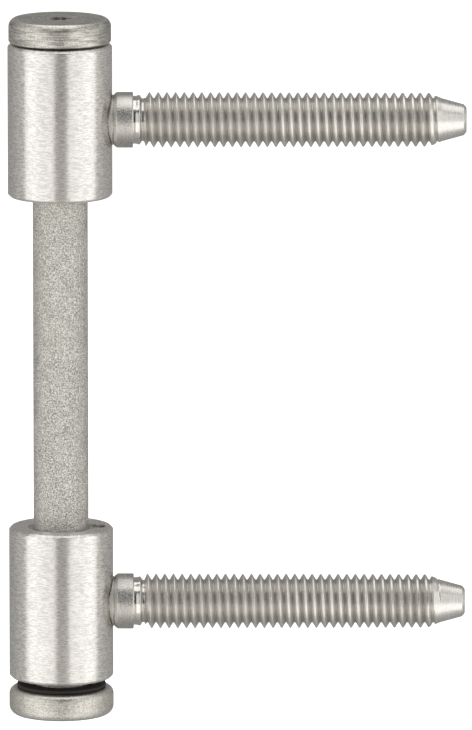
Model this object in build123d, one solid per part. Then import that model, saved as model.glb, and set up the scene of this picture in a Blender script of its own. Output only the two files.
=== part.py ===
from build123d import *
import math
import os

# Leaf half of a three-part drill-in door hinge. Two drilled knuckles, each with a stud drawn
# without its thread, turn on one loose pin. The knuckle on the door frame goes between them.
# +Z runs up the pin's axis and +X runs out along the studs. The origin is on the pin's
# axis, halfway between the two knuckles. Lengths are in millimetres, angles in degrees.

# Knuckles
knuckle_radius = 7.5
knuckle_height = 22.0
knuckle_gap = 48.3
knuckle_edge = 0.35
bore_radius = 4.7
bore_edge = 0.15

# Notch in the knuckle's end face that takes the bush's lug
notch_width = 2.75
notch_reach = 6.4
notch_depth = 2.0
lug_width = 2.35
lug_reach = 5.95
lug_depth = 1.6
lug_recess = 0.35

# Pin, with a tapped hole in each end
pin_radius = 3.95
pin_edge = 0.3
running_clearance = 0.05
bush_recess = 0.2
tapped_radius = 2.55
tapped_depth = 9.5
tapped_mouth = 0.3
drill_point_angle = 118.0

# Caps at the two ends of the pin, each with its own threaded shank. The outer rim is an arc that
# the flat face cuts off, so it meets the face at a crisp edge.
head_radius = 7.35
head_height = 3.35
head_under_edge = 0.3
head_gap = 0.3
button_radius = 7.535
button_height = 3.8
button_top_edge = 1.0
cap_edge = 1.25
cap_facing = 0.15
shank_radius = 2.5
shank_length = 7.6
shank_edge = 0.45
end_play = 1.5
button_seat_gap = 0.05

# Six-lobe drive socket in each cap
socket_core_radius = 1.2
socket_lobe_radius = 0.33
socket_reach = 1.635
socket_depth = 1.5

# Thrust washer round the pin's lower end, lying on the button
washer_radius = 6.4
washer_bore_clearance = 0.1
washer_thickness = 0.5
washer_edge = 0.1

# Stud, measured outwards from the pin's axis
spigot_radius = 3.0
spigot_start = 5.0
seat_start = 6.9
seat_radius = 3.68
seat_clearance = 0.05
weld_groove_radius = 3.52
weld_groove_width = 0.12
collar_radius = 4.0
collar_start = 8.15
collar_end = 10.45
collar_edge = 0.12
neck_radius = 3.43
neck_rim_radius = 3.6
neck_rim = 11.4
relief_start = 11.7
relief_end = 12.0
thread_start = 12.3
thread_end = 52.85
runout_end = 54.7
tip_cone_radius = 3.08
tip_radius = 2.23
tip_cone_end = 57.8
stud_end = 58.2

# Plain envelope over the crests of the studs' M8 x 1.25 thread, a little thinner towards the tip.
# The thread itself is not cut.
crest_radius = 3.97
outer_crest_radius = 3.85
relief_radius = 3.1

# Heights worked out from the driving sizes
knuckle_centre = (knuckle_gap + knuckle_height) / 2
head_underside = knuckle_centre + knuckle_height / 2 + head_gap
button_top = -(knuckle_centre + knuckle_height / 2 + end_play)
pin_bottom = button_top + button_seat_gap


def turned(points):
    """Solid of revolution about Z from (radius, height) points that start and end on the axis."""
    outline = Polyline(*points, close=True)
    return revolve(make_face(Plane.XZ * outline), Axis.Z)


def knuckle():
    """Drilled knuckle centred on the origin, with its notch in the top face and its stud hole at +X."""
    body = Cylinder(knuckle_radius, knuckle_height)
    body = chamfer(body.edges().filter_by(GeomType.CIRCLE), knuckle_edge)
    body -= Cylinder(bore_radius, knuckle_height)
    body = chamfer(body.edges().filter_by(GeomType.CIRCLE).sort_by(SortBy.RADIUS)[:2], bore_edge)
    body -= keyway(notch_width, notch_reach, notch_depth, knuckle_height / 2)
    stud_hole = Rot(0, 90, 0) * turned(
        [
            (0, 0),
            (spigot_radius, 0),
            (spigot_radius, seat_start - seat_clearance),
            (seat_radius + seat_clearance, knuckle_radius),
            (0, knuckle_radius),
        ]
    )
    return body - stud_hole


def keyway(width, reach, depth, top):
    """Round-ended block along +X that starts inside the bore's wall and hangs down from height top."""
    straight = reach - width / 2
    plan = Pos(straight / 2, 0) * Rectangle(straight, width) + Pos(straight, 0) * Circle(width / 2)
    return Pos(0, 0, top - depth) * extrude(plan, depth)


def bush():
    """Plain bearing sleeve centred on the origin, with the lug that keys it into the notch."""
    length = knuckle_height - 2 * bush_recess
    lug_top = knuckle_height / 2 - lug_recess
    sleeve = Cylinder(bore_radius, length)
    sleeve += keyway(lug_width, lug_reach, lug_depth, lug_top)
    return sleeve - Cylinder(pin_radius + running_clearance, knuckle_height)


def stud():
    """Stud along +X from a knuckle's wall, plain where the real one is threaded."""
    groove_middle = knuckle_radius + weld_groove_width
    groove_end = groove_middle + weld_groove_width
    blank = turned(
        [
            (0, spigot_start),
            (spigot_radius, spigot_start),
            (spigot_radius, seat_start),
            (seat_radius, knuckle_radius),
            (weld_groove_radius, groove_middle),
            (seat_radius, groove_end),
            (collar_radius, collar_start),
            (collar_radius, collar_end - collar_edge),
            (collar_radius - collar_edge, collar_end),
            (neck_radius, collar_end),
            (neck_rim_radius, neck_rim),
            (relief_radius, relief_start),
            (relief_radius, relief_end),
            (crest_radius, thread_start),
            (outer_crest_radius, thread_end),
            (tip_cone_radius, runout_end),
            (tip_radius, tip_cone_end),
            (0, stud_end),
        ]
    )
    return Rot(0, 90, 0) * blank


def hinge_pin():
    """Round pin from the head's underside down to the button, tapped at both ends."""
    length = head_underside - pin_bottom
    rod = Pos(0, 0, (head_underside + pin_bottom) / 2) * Cylinder(pin_radius, length)
    rod = chamfer(rod.edges().filter_by(GeomType.CIRCLE), pin_edge)
    top_hole = Pos(0, 0, head_underside) * tapped_hole()
    bottom_hole = Pos(0, 0, pin_bottom) * (Rot(180, 0, 0) * tapped_hole())
    return rod - top_hole - bottom_hole


def tapped_hole():
    """Hole that runs down from the origin to its drill point, with a chamfered mouth."""
    point_depth = tapped_radius / math.tan(math.radians(drill_point_angle / 2))
    return turned(
        [
            (0, 0),
            (tapped_radius + tapped_mouth, 0),
            (tapped_radius, -tapped_mouth),
            (tapped_radius, -tapped_depth),
            (0, -tapped_depth - point_depth),
        ]
    )


def cap(radius, height, inner_edge):
    """Cap seen as the pin's head: its face up, its shank hanging down, its underside at height 0."""
    blank_height = height + cap_facing
    disc = Pos(0, 0, blank_height / 2) * Cylinder(radius, blank_height)
    rims = disc.edges().filter_by(GeomType.CIRCLE).sort_by(Axis.Z)
    disc = fillet(rims[-1], cap_edge)
    disc = fillet(disc.edges().filter_by(GeomType.CIRCLE).sort_by(Axis.Z)[0], inner_edge)
    disc -= Pos(0, 0, height + cap_facing) * Cylinder(2 * radius, 2 * cap_facing)
    shank = Pos(0, 0, -shank_length / 2) * Cylinder(shank_radius, shank_length)
    shank = chamfer(shank.edges().filter_by(GeomType.CIRCLE).sort_by(Axis.Z)[0], shank_edge)
    return disc + shank - Pos(0, 0, height) * drive_socket()


def drive_socket():
    """Six-lobe socket that runs down from the origin."""
    lobes = PolarLocations(socket_reach - socket_lobe_radius, 6) * Circle(socket_lobe_radius)
    plan = Circle(socket_core_radius) + lobes
    return Pos(0, 0, -socket_depth) * extrude(plan, socket_depth)


def thrust_washer():
    """Flat washer that lies on the button, round the pin's lower end."""
    bottom = button_top + button_seat_gap
    ring = Pos(0, 0, bottom + washer_thickness / 2) * Cylinder(washer_radius, washer_thickness)
    ring = chamfer(ring.edges().filter_by(GeomType.CIRCLE), washer_edge)
    bore = Pos(0, 0, bottom) * Cylinder(pin_radius + washer_bore_clearance, 2 * washer_thickness)
    return ring - bore


def parts():
    """Every piece in its place, by node name."""
    lower = Pos(0, 0, -knuckle_centre)
    upper = Pos(0, 0, knuckle_centre) * Rot(180, 0, 0)
    head = cap(head_radius, head_height, head_under_edge)
    button = cap(button_radius, button_height, button_top_edge)
    return {
        "upper_knuckle": upper * knuckle(),
        "upper_bush": upper * bush(),
        "upper_stud": upper * stud(),
        "lower_knuckle": lower * knuckle(),
        "lower_bush": lower * bush(),
        "lower_stud": lower * stud(),
        "hinge_pin": hinge_pin(),
        "head_cap": Pos(0, 0, head_underside) * head,
        "thrust_washer": thrust_washer(),
        "end_button": Pos(0, 0, button_top) * (Rot(180, 0, 0) * button),
    }


os.makedirs("parts", exist_ok=True)
for node, shape in parts().items():
    export_step(shape, f"parts/{node}.step")
    print(node, round(shape.volume, 1), "mm3", shape.bounding_box())
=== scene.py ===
"""Visual model of the leaf half of a three-part drill-in door hinge.

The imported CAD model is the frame. Every piece is rebuilt here as a clean closed mesh that lies
where its CAD node lies, gets its nickel or polymer finish, and rides on its CAD body. Sizes are
in millimetres until the last step of each mesh, which turns them into metres.
"""
import logging
import math
from dataclasses import dataclass, field
from enum import Enum
from typing import Callable, Sequence

import bmesh
import bpy
from mathutils import Matrix, Vector


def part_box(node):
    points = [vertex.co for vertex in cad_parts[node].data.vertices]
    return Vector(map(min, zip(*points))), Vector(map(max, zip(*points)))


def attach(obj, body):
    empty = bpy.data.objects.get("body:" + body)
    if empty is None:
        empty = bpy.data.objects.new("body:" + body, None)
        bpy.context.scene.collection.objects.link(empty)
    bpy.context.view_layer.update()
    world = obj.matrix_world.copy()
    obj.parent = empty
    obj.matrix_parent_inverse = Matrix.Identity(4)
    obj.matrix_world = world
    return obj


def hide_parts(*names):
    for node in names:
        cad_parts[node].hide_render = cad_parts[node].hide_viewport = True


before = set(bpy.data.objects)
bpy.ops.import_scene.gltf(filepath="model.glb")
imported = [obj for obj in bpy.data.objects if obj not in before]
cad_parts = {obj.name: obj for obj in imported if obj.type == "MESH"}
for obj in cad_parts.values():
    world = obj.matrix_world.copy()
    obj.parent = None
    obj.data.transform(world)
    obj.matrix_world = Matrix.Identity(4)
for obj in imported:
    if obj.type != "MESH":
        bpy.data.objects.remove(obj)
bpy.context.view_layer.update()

MM = 0.001
RING = 160
CAP_EDGE = 1.25
CAP_FACING = 0.15
CRISP_EDGE = 0.05
UPPER_CREST = 12.84
LOWER_CREST = 12.47

Point = tuple[float, float]
Colour = tuple[float, float, float]
Given = dict[str, bpy.types.NodeSocket]
Sockets = Sequence[bpy.types.NodeSocket]

log = logging.getLogger("door_hinge")


class Axis(Enum):
    """Axis that a turned piece was turned about."""

    UP = "up"
    OUT = "out"


class MathOp(Enum):
    """Math node operations that the trees use, by plain name."""

    ADD = "ADD"
    SUBTRACT = "SUBTRACT"
    MULTIPLY = "MULTIPLY"
    DIVIDE = "DIVIDE"
    FLOOR = "FLOOR"
    ABSOLUTE = "ABSOLUTE"
    SINE = "SINE"
    COSINE = "COSINE"
    ARC_SINE = "ARCSINE"
    ARC_TANGENT = "ARCTAN2"
    SQUARE_ROOT = "SQRT"
    MINIMUM = "MINIMUM"
    MAXIMUM = "MAXIMUM"
    SMOOTH_MINIMUM = "SMOOTH_MIN"
    SMOOTH_MAXIMUM = "SMOOTH_MAX"


# ---------------------------------------------------------------------------------------------
# Node trees
# ---------------------------------------------------------------------------------------------


class Tree:
    """Short way to add and join nodes in a shader or geometry tree."""

    def __init__(self, node_tree: bpy.types.NodeTree) -> None:
        """Starts on an empty tree.

        Args:
            node_tree: The tree that the nodes go into. Its nodes are cleared first.
        """
        self.tree = node_tree
        self.tree.nodes.clear()

    def node(self, kind: str, **settings: object) -> bpy.types.Node:
        """Adds a node.

        Args:
            kind: Blender's name for the node.
            **settings: Properties to set on the node itself.

        Returns:
            The new node.
        """
        made = self.tree.nodes.new(kind)
        for name, value in settings.items():
            setattr(made, name, value)
        return made

    def feed(self, socket: bpy.types.NodeSocket, value: object) -> None:
        """Links a socket to another one, or sets its own value.

        Args:
            socket: The input that is fed.
            value: Another node's output, a number, a vector or a material.
        """
        if isinstance(value, bpy.types.NodeSocket):
            self.tree.links.new(value, socket)
        else:
            socket.default_value = value

    def math(self, op: MathOp, *values: object, clamp: bool = False) -> bpy.types.NodeSocket:
        """Adds a Math node.

        Args:
            op: What it does.
            *values: Its inputs in order, each an output or a number.
            clamp: True if the result is kept between 0 and 1.

        Returns:
            The node's result.
        """
        made = self.node("ShaderNodeMath", operation=op.value, use_clamp=clamp)
        for socket, value in zip(made.inputs, values):
            self.feed(socket, value)
        return made.outputs[0]

    def join(self, x: object, y: object, z: object) -> bpy.types.NodeSocket:
        """Puts three numbers together as a vector.

        Args:
            x: First part.
            y: Second part.
            z: Third part.

        Returns:
            The vector.
        """
        made = self.node("ShaderNodeCombineXYZ")
        for socket, value in zip(made.inputs, (x, y, z)):
            self.feed(socket, value)
        return made.outputs[0]

    def split(self, vector: object) -> Sequence[bpy.types.NodeSocket]:
        """Takes a vector apart.

        Args:
            vector: The vector's output.

        Returns:
            Its three parts.
        """
        made = self.node("ShaderNodeSeparateXYZ")
        self.feed(made.inputs[0], vector)
        return made.outputs

    def ramp(
        self, value: object, low: object, high: object, to_low: object = 0.0, to_high: object = 1.0
    ) -> bpy.types.NodeSocket:
        """Maps a range of a number smoothly onto another range, clamped at both ends.

        Args:
            value: The number.
            low: Start of its range.
            high: End of its range.
            to_low: Result at the start.
            to_high: Result at the end.

        Returns:
            The mapped number.
        """
        made = self.node("ShaderNodeMapRange", interpolation_type="SMOOTHSTEP")
        for index, item in enumerate((value, low, high, to_low, to_high)):
            self.feed(made.inputs[index], item)
        return made.outputs[0]

    def blend(self, share: object, first: object, second: object) -> bpy.types.NodeSocket:
        """Mixes two numbers.

        Args:
            share: 0 for the first, 1 for the second.
            first: First number.
            second: Second number.

        Returns:
            The mixed number.
        """
        made = self.node("ShaderNodeMix", data_type="FLOAT")
        for index, item in zip((0, 2, 3), (share, first, second)):
            self.feed(made.inputs[index], item)
        return made.outputs[0]

    def tint(self, share: object, first: object, second: object) -> bpy.types.NodeSocket:
        """Mixes two colours.

        Args:
            share: 0 for the first, 1 for the second.
            first: First colour.
            second: Second colour.

        Returns:
            The mixed colour.
        """
        made = self.node("ShaderNodeMix", data_type="RGBA")
        for index, item in zip((0, 6, 7), (share, first, second)):
            self.feed(made.inputs[index], (*item, 1.0) if isinstance(item, tuple) else item)
        return made.outputs[2]

    def noise(
        self, vector: object, scale: object, detail: float = 2.0, roughness: float = 0.5
    ) -> bpy.types.NodeSocket:
        """Adds a Noise Texture.

        Args:
            vector: Where it is read.
            scale: How fine it is.
            detail: Number of octaves.
            roughness: Weight of the finer octaves.

        Returns:
            Its value.
        """
        made = self.node("ShaderNodeTexNoise")
        self.feed(made.inputs["Vector"], vector)
        self.feed(made.inputs["Scale"], scale)
        made.inputs["Detail"].default_value = detail
        made.inputs["Roughness"].default_value = roughness
        return made.outputs[0]

    def group(self, shared: "SharedEffect", **values: object) -> bpy.types.NodeOutputs:
        """Places a shared effect with its own values.

        Args:
            shared: The effect.
            **values: Inputs by name, with spaces written as underscores.

        Returns:
            The effect's outputs.
        """
        made = self.node("ShaderNodeGroup", node_tree=shared.tree)
        for name, value in values.items():
            self.feed(made.inputs[name.replace("_", " ")], value)
        return made.outputs


class SharedEffect:
    """Shader node group that several finishes place with their own values."""

    def __init__(
        self,
        name: str,
        numbers: dict[str, float],
        outputs: Sequence[str],
        build: Callable[[Tree, dict[str, bpy.types.NodeSocket]], Sequence[bpy.types.NodeSocket]],
    ) -> None:
        """Builds the group.

        Args:
            name: Name of the group.
            numbers: Its number inputs and their usual values. It also takes a Vector in mm.
            outputs: Names of its outputs, all numbers between about 0 and 1.
            build: Adds the nodes and returns one socket for each output.
        """
        self.tree = bpy.data.node_groups.new(name, "ShaderNodeTree")
        work = Tree(self.tree)
        self.tree.interface.new_socket("Vector", in_out="INPUT", socket_type="NodeSocketVector")
        for label, usual in numbers.items():
            socket = self.tree.interface.new_socket(
                label, in_out="INPUT", socket_type="NodeSocketFloat"
            )
            socket.default_value = usual
        for label in outputs:
            self.tree.interface.new_socket(label, in_out="OUTPUT", socket_type="NodeSocketFloat")
        entry = work.node("NodeGroupInput")
        leave = work.node("NodeGroupOutput")
        made = build(work, {socket.name: socket for socket in entry.outputs if socket.name})
        for socket, result in zip(leave.inputs, made):
            work.feed(socket, result)


def build_turning_marks(work: Tree, given: Given) -> Sockets:
    """Fine lines that run round the Z axis, on walls and on faces alike, with no seam.

    Args:
        work: The group's tree.
        given: The group's inputs.

    Returns:
        Lines, and broad bands of them.
    """
    x, y, z = work.split(given["Vector"])
    reach = work.math(
        MathOp.SQUARE_ROOT,
        work.math(MathOp.ADD, work.math(MathOp.MULTIPLY, x, x), work.math(MathOp.MULTIPLY, y, y)),
    )
    reach = work.math(MathOp.MAXIMUM, reach, 0.05)
    around_x = work.math(MathOp.MULTIPLY, work.math(MathOp.DIVIDE, x, reach), given["Strokes"])
    around_y = work.math(MathOp.MULTIPLY, work.math(MathOp.DIVIDE, y, reach), given["Strokes"])
    along = work.math(MathOp.MULTIPLY, work.math(MathOp.ADD, z, reach), given["Lines"])
    lines = work.noise(work.join(around_x, around_y, along), 1.0, 3.0, 0.65)
    broad_along = work.math(MathOp.MULTIPLY, along, 0.17)
    broad = work.noise(work.join(around_x, around_y, broad_along), 1.0, 2.0, 0.5)
    return work.ramp(lines, 0.28, 0.72), work.ramp(broad, 0.3, 0.7)


def build_tumbled_grain(work: Tree, given: Given) -> Sockets:
    """Fine grain and scattered small pits of a tumbled surface.

    Args:
        work: The group's tree.
        given: The group's inputs.

    Returns:
        Grain, pits, and broad patches.
    """
    fine = work.math(MathOp.DIVIDE, 1.0, given["Grain Size"])
    grain = work.noise(given["Vector"], fine, 3.0, 0.7)
    cells = work.node("ShaderNodeTexVoronoi", feature="F1")
    work.feed(cells.inputs["Vector"], given["Vector"])
    work.feed(cells.inputs["Scale"], work.math(MathOp.DIVIDE, 1.0, given["Pit Spacing"]))
    pits = work.ramp(cells.outputs["Distance"], 0.0, 0.3, 1.0, 0.0)
    patches = work.noise(given["Vector"], 0.35, 3.0, 0.6)
    return work.ramp(grain, 0.3, 0.7), pits, work.ramp(patches, 0.35, 0.65)


def build_rim_wear_and_highlight(work: Tree, given: Given) -> Sockets:
    """Rims of a drum about the Z axis, broken up by noise: rubbed wear, and a painted highlight
    along the edge.

    Args:
        work: The group's tree.
        given: The group's inputs.

    Returns:
        Wear and painted highlight, 1 on the rim itself.
    """
    x, y, z = work.split(given["Vector"])
    reach = work.math(
        MathOp.SQUARE_ROOT,
        work.math(MathOp.ADD, work.math(MathOp.MULTIPLY, x, x), work.math(MathOp.MULTIPLY, y, y)),
    )
    sideways = work.math(MathOp.SUBTRACT, reach, given["Radius"])
    level = work.math(MathOp.ABSOLUTE, work.math(MathOp.SUBTRACT, z, given["Middle"]))
    upwards = work.math(MathOp.SUBTRACT, level, given["Half Height"])
    away = work.math(
        MathOp.SQUARE_ROOT,
        work.math(
            MathOp.ADD,
            work.math(MathOp.MULTIPLY, sideways, sideways),
            work.math(MathOp.MULTIPLY, upwards, upwards),
        ),
    )
    ragged = work.math(
        MathOp.MULTIPLY,
        given["Width"],
        work.ramp(work.noise(given["Vector"], 1.6, 3.0), 0.3, 0.7, 0.6, 1.5),
    )
    return (work.ramp(away, 0.0, ragged, 1.0, 0.0),)


def build_length_zone(work: Tree, given: Given) -> Sockets:
    """Stretch of a stud between two distances along X.

    Args:
        work: The group's tree.
        given: The group's inputs.

    Returns:
        Zone, 1 inside the stretch.
    """
    along = work.split(given["Vector"])[0]
    entered = work.ramp(
        along,
        work.math(MathOp.SUBTRACT, given["Start"], given["Feather"]),
        work.math(MathOp.ADD, given["Start"], given["Feather"]),
    )
    left = work.ramp(
        along,
        work.math(MathOp.SUBTRACT, given["End"], given["Feather"]),
        work.math(MathOp.ADD, given["End"], given["Feather"]),
        1.0,
        0.0,
    )
    return (work.math(MathOp.MULTIPLY, entered, left),)


TURNING_MARKS = SharedEffect(
    "turning_marks", {"Lines": 9.0, "Strokes": 2.5}, ("Lines", "Bands"), build_turning_marks
)
TUMBLED_GRAIN = SharedEffect(
    "tumbled_grain",
    {"Grain Size": 0.2, "Pit Spacing": 0.8},
    ("Grain", "Pits", "Patches"),
    build_tumbled_grain,
)
RIM_WEAR_AND_HIGHLIGHT = SharedEffect(
    "rim_wear",
    {"Radius": 7.5, "Middle": 0.0, "Half Height": 11.0, "Width": 0.5},
    ("Wear",),
    build_rim_wear_and_highlight,
)
LENGTH_ZONE = SharedEffect(
    "length_zone", {"Start": 0.0, "End": 1.0, "Feather": 0.05}, ("Zone",), build_length_zone
)


# ---------------------------------------------------------------------------------------------
# Finishes
# ---------------------------------------------------------------------------------------------


class Surface:
    """Material under construction: its Principled shader, its tree and a position in mm."""

    def __init__(self, name: str) -> None:
        """Starts a material.

        Args:
            name: Name of the material.
        """
        self.material = bpy.data.materials.new(name)
        self.material.use_nodes = True
        self.work = Tree(self.material.node_tree)
        self.shader = self.work.node("ShaderNodeBsdfPrincipled")
        out = self.work.node("ShaderNodeOutputMaterial")
        self.work.feed(out.inputs["Surface"], self.shader.outputs[0])
        place = self.work.node("ShaderNodeTexCoord").outputs["Object"]
        scale = self.work.node("ShaderNodeVectorMath", operation="SCALE")
        self.work.feed(scale.inputs[0], place)
        scale.inputs["Scale"].default_value = 1.0 / MM
        self.mm = scale.outputs[0]

    def set(self, name: str, value: object) -> None:
        """Feeds one of the shader's inputs.

        Args:
            name: Name of the input.
            value: An output, a number or a colour.
        """
        if isinstance(value, tuple) and len(value) == 3:
            value = (*value, 1.0)
        self.work.feed(self.shader.inputs[name], value)

    def bump(self, height: object, depth: float) -> None:
        """Raises the surface by a height pattern.

        Args:
            height: Pattern between 0 and 1.
            depth: Its real height in mm.
        """
        bump = self.work.node("ShaderNodeBump")
        bump.inputs["Strength"].default_value = 1.0
        bump.inputs["Distance"].default_value = depth * MM
        self.work.feed(bump.inputs["Height"], height)
        self.set("Normal", bump.outputs[0])

    def moved(self, location: Sequence[float]) -> bpy.types.NodeSocket:
        """Position in mm measured from another point, not turned.

        Args:
            location: The point in mm.

        Returns:
            The position's output.
        """
        mapping = self.work.node("ShaderNodeMapping", vector_type="POINT")
        self.work.feed(mapping.inputs["Vector"], self.mm)
        mapping.inputs["Location"].default_value = [-part for part in location]
        return mapping.outputs[0]

    def laid_over(self, height: float) -> bpy.types.NodeSocket:
        """Position in mm for a stud along +X, turned so that its axis is Z.

        Args:
            height: Height of the stud's axis in mm.

        Returns:
            The position's output.
        """
        mapping = self.work.node("ShaderNodeMapping", vector_type="POINT")
        self.work.feed(mapping.inputs["Vector"], self.moved((0.0, 0.0, height)))
        mapping.inputs["Rotation"].default_value = (0.0, math.radians(-90.0), 0.0)
        return mapping.outputs[0]


@dataclass(frozen=True)
class BrushedNickel:
    """Nickel-plated steel with fine brushing round a drum, lightened at its rims: a little rubbed
    wear, and a painted highlight.
    """

    name: str
    radius: float
    middle: float
    half_height: float
    pale: Colour = (0.83, 0.82, 0.795)
    deep: Colour = (0.56, 0.545, 0.52)
    smooth: float = 0.24
    rough: float = 0.42
    anisotropy: float = 0.86
    lines: float = 6.5
    strokes: float = 9.0
    depth: float = 0.003

    def build(self) -> bpy.types.Material:
        """Builds the material.

        Returns:
            The material.
        """
        skin = Surface(self.name)
        work = skin.work
        marks = work.group(TURNING_MARKS, Vector=skin.mm, Lines=self.lines, Strokes=self.strokes)
        grain = work.group(TUMBLED_GRAIN, Vector=skin.mm, Grain_Size=0.25, Pit_Spacing=1.9)
        wear_and_highlight = work.group(
            RIM_WEAR_AND_HIGHLIGHT,
            Vector=skin.mm,
            Radius=self.radius,
            Middle=self.middle,
            Half_Height=self.half_height,
            Width=0.45,
        )[0]
        tone = work.ramp(work.blend(0.2, marks["Lines"], grain["Grain"]), 0.3, 0.7)
        tone = work.blend(0.1, tone, grain["Patches"])
        colour = work.tint(tone, self.deep, self.pale)
        # Rims lightened towards pale nickel: partly rubbed wear, partly a painted highlight on the
        # edges.
        colour = work.tint(work.math(MathOp.MULTIPLY, wear_and_highlight, 0.6), colour, (0.86, 0.85, 0.82))
        skin.set("Base Color", colour)
        skin.set("Metallic", 1.0)
        uneven = work.blend(0.6, work.blend(0.5, marks["Bands"], grain["Patches"]), marks["Lines"])
        roughness = work.ramp(uneven, 0.0, 1.0, self.smooth, self.rough)
        rubbed_and_highlit = work.math(MathOp.MULTIPLY, wear_and_highlight, 0.06)
        skin.set("Roughness", work.math(MathOp.SUBTRACT, roughness, rubbed_and_highlit))
        skin.set("Anisotropic", self.anisotropy)
        tangent = work.node("ShaderNodeTangent", direction_type="RADIAL", axis="Z")
        skin.set("Tangent", tangent.outputs[0])
        skin.set("Anisotropic Rotation", 0.25)
        skin.bump(marks["Lines"], self.depth)
        return skin.material


@dataclass(frozen=True)
class TumbledNickel:
    """Nickel-plated steel with a coarse tumbled grain and, if wanted, faint turning marks."""

    name: str
    radius: float
    middle: float
    half_height: float
    pale: Colour = (0.84, 0.825, 0.775)
    deep: Colour = (0.30, 0.29, 0.265)
    smooth: float = 0.36
    rough: float = 0.50
    grain_size: float = 0.18
    grain_depth: float = 0.05
    marks: float = 0.15
    lines: float = 5.0

    def build(self) -> bpy.types.Material:
        """Builds the material.

        Returns:
            The material.
        """
        skin = Surface(self.name)
        work = skin.work
        marks = work.group(TURNING_MARKS, Vector=skin.mm, Lines=self.lines, Strokes=2.2)
        grain = work.group(
            TUMBLED_GRAIN, Vector=skin.mm, Grain_Size=self.grain_size, Pit_Spacing=0.95
        )
        wear_and_highlight = work.group(
            RIM_WEAR_AND_HIGHLIGHT,
            Vector=skin.mm,
            Radius=self.radius,
            Middle=self.middle,
            Half_Height=self.half_height,
            Width=0.5,
        )[0]
        tone = work.ramp(work.blend(self.marks, grain["Grain"], marks["Lines"]), 0.28, 0.72)
        tone = work.blend(0.12, tone, grain["Patches"])
        colour = work.tint(tone, self.deep, self.pale)
        pitted = work.tint(
            work.math(MathOp.MULTIPLY, grain["Pits"], 0.55), colour, (0.30, 0.285, 0.255)
        )
        # Rims lightened towards pale nickel: partly rubbed wear, partly a painted highlight along
        # the edge.
        rubbed_and_highlit = work.tint(work.math(MathOp.MULTIPLY, wear_and_highlight, 0.5), pitted, (0.84, 0.825, 0.78))
        skin.set("Base Color", rubbed_and_highlit)
        skin.set("Metallic", 1.0)
        roughness = work.ramp(
            work.blend(0.5, grain["Patches"], grain["Grain"]), 0.0, 1.0, self.smooth, self.rough
        )
        rubbed_and_highlit = work.math(MathOp.MULTIPLY, wear_and_highlight, 0.08)
        skin.set("Roughness", work.math(MathOp.SUBTRACT, roughness, rubbed_and_highlit))
        relief = work.blend(self.marks, grain["Grain"], marks["Lines"])
        relief = work.math(MathOp.SUBTRACT, relief, work.math(MathOp.MULTIPLY, grain["Pits"], 0.4))
        skin.bump(relief, self.grain_depth)
        return skin.material


@dataclass(frozen=True)
class StudNickel:
    """Nickel-plated steel stud: grainy collar, polished neck and tip, satin rolled thread, with
    painted shade in the thread's roots and a painted highlight on its crests.
    """

    name: str
    height: float
    collar_end: float
    thread_start: float
    thread_end: float
    tip_end: float
    root_radius: float
    crest_radius: float
    root_shade_and_collar_tone: Colour = (0.30, 0.29, 0.265)
    pale: Colour = (0.82, 0.805, 0.77)
    deep: Colour = (0.56, 0.545, 0.515)

    def build(self) -> bpy.types.Material:
        """Builds the material.

        Returns:
            The material.
        """
        skin = Surface(self.name)
        work = skin.work
        turned = skin.laid_over(self.height)
        marks = work.group(TURNING_MARKS, Vector=turned, Lines=11.0, Strokes=2.0)
        grain = work.group(TUMBLED_GRAIN, Vector=skin.mm, Grain_Size=0.2, Pit_Spacing=1.1)
        collar = work.group(
            LENGTH_ZONE, Vector=skin.mm, Start=0.0, End=self.collar_end, Feather=0.04
        )[0]
        thread = work.group(
            LENGTH_ZONE, Vector=skin.mm, Start=self.thread_start, End=self.thread_end, Feather=0.25
        )[0]
        x, y, z = work.split(turned)
        reach = work.math(
            MathOp.SQUARE_ROOT,
            work.math(
                MathOp.ADD, work.math(MathOp.MULTIPLY, x, x), work.math(MathOp.MULTIPLY, y, y)
            ),
        )
        crest = work.ramp(reach, self.crest_radius - 0.2, self.crest_radius - 0.03)
        crest = work.math(MathOp.MULTIPLY, crest, thread)
        tone = work.blend(0.12, work.blend(0.6, marks["Lines"], grain["Grain"]), grain["Patches"])
        colour = work.tint(tone, self.deep, self.pale)
        # Painted shade: the thread's roots are darkened towards a dark nickel, where shade falls
        # between the crests.
        root_shade = work.ramp(reach, self.root_radius + 0.02, self.root_radius + 0.2, 0.45, 0.0)
        colour = work.tint(work.math(MathOp.MULTIPLY, root_shade, thread), colour, self.root_shade_and_collar_tone)
        # The collar is toned 30% towards the same dark nickel.
        colour = work.tint(work.math(MathOp.MULTIPLY, collar, 0.3), colour, self.root_shade_and_collar_tone)
        # Painted highlight: the thread's crests are lightened towards pale nickel.
        colour = work.tint(work.math(MathOp.MULTIPLY, crest, 0.35), colour, (0.86, 0.85, 0.82))
        skin.set("Base Color", colour)
        skin.set("Metallic", 1.0)
        polished = work.ramp(grain["Patches"], 0.0, 1.0, 0.10, 0.16)
        satin = work.ramp(tone, 0.0, 1.0, 0.30, 0.42)
        grainy = work.ramp(grain["Grain"], 0.0, 1.0, 0.15, 0.28)
        brushed = work.ramp(marks["Lines"], 0.0, 1.0, 0.26, 0.36)
        tip = work.group(
            LENGTH_ZONE, Vector=skin.mm, Start=self.thread_end, End=self.tip_end, Feather=0.25
        )[0]
        roughness = work.blend(thread, polished, satin)
        roughness = work.blend(tip, roughness, brushed)
        roughness = work.blend(collar, roughness, grainy)
        skin.set("Roughness", roughness)
        relief = work.blend(
            collar, work.math(MathOp.MULTIPLY, marks["Lines"], 0.12), grain["Grain"]
        )
        skin.bump(relief, 0.015)
        return skin.material


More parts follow.
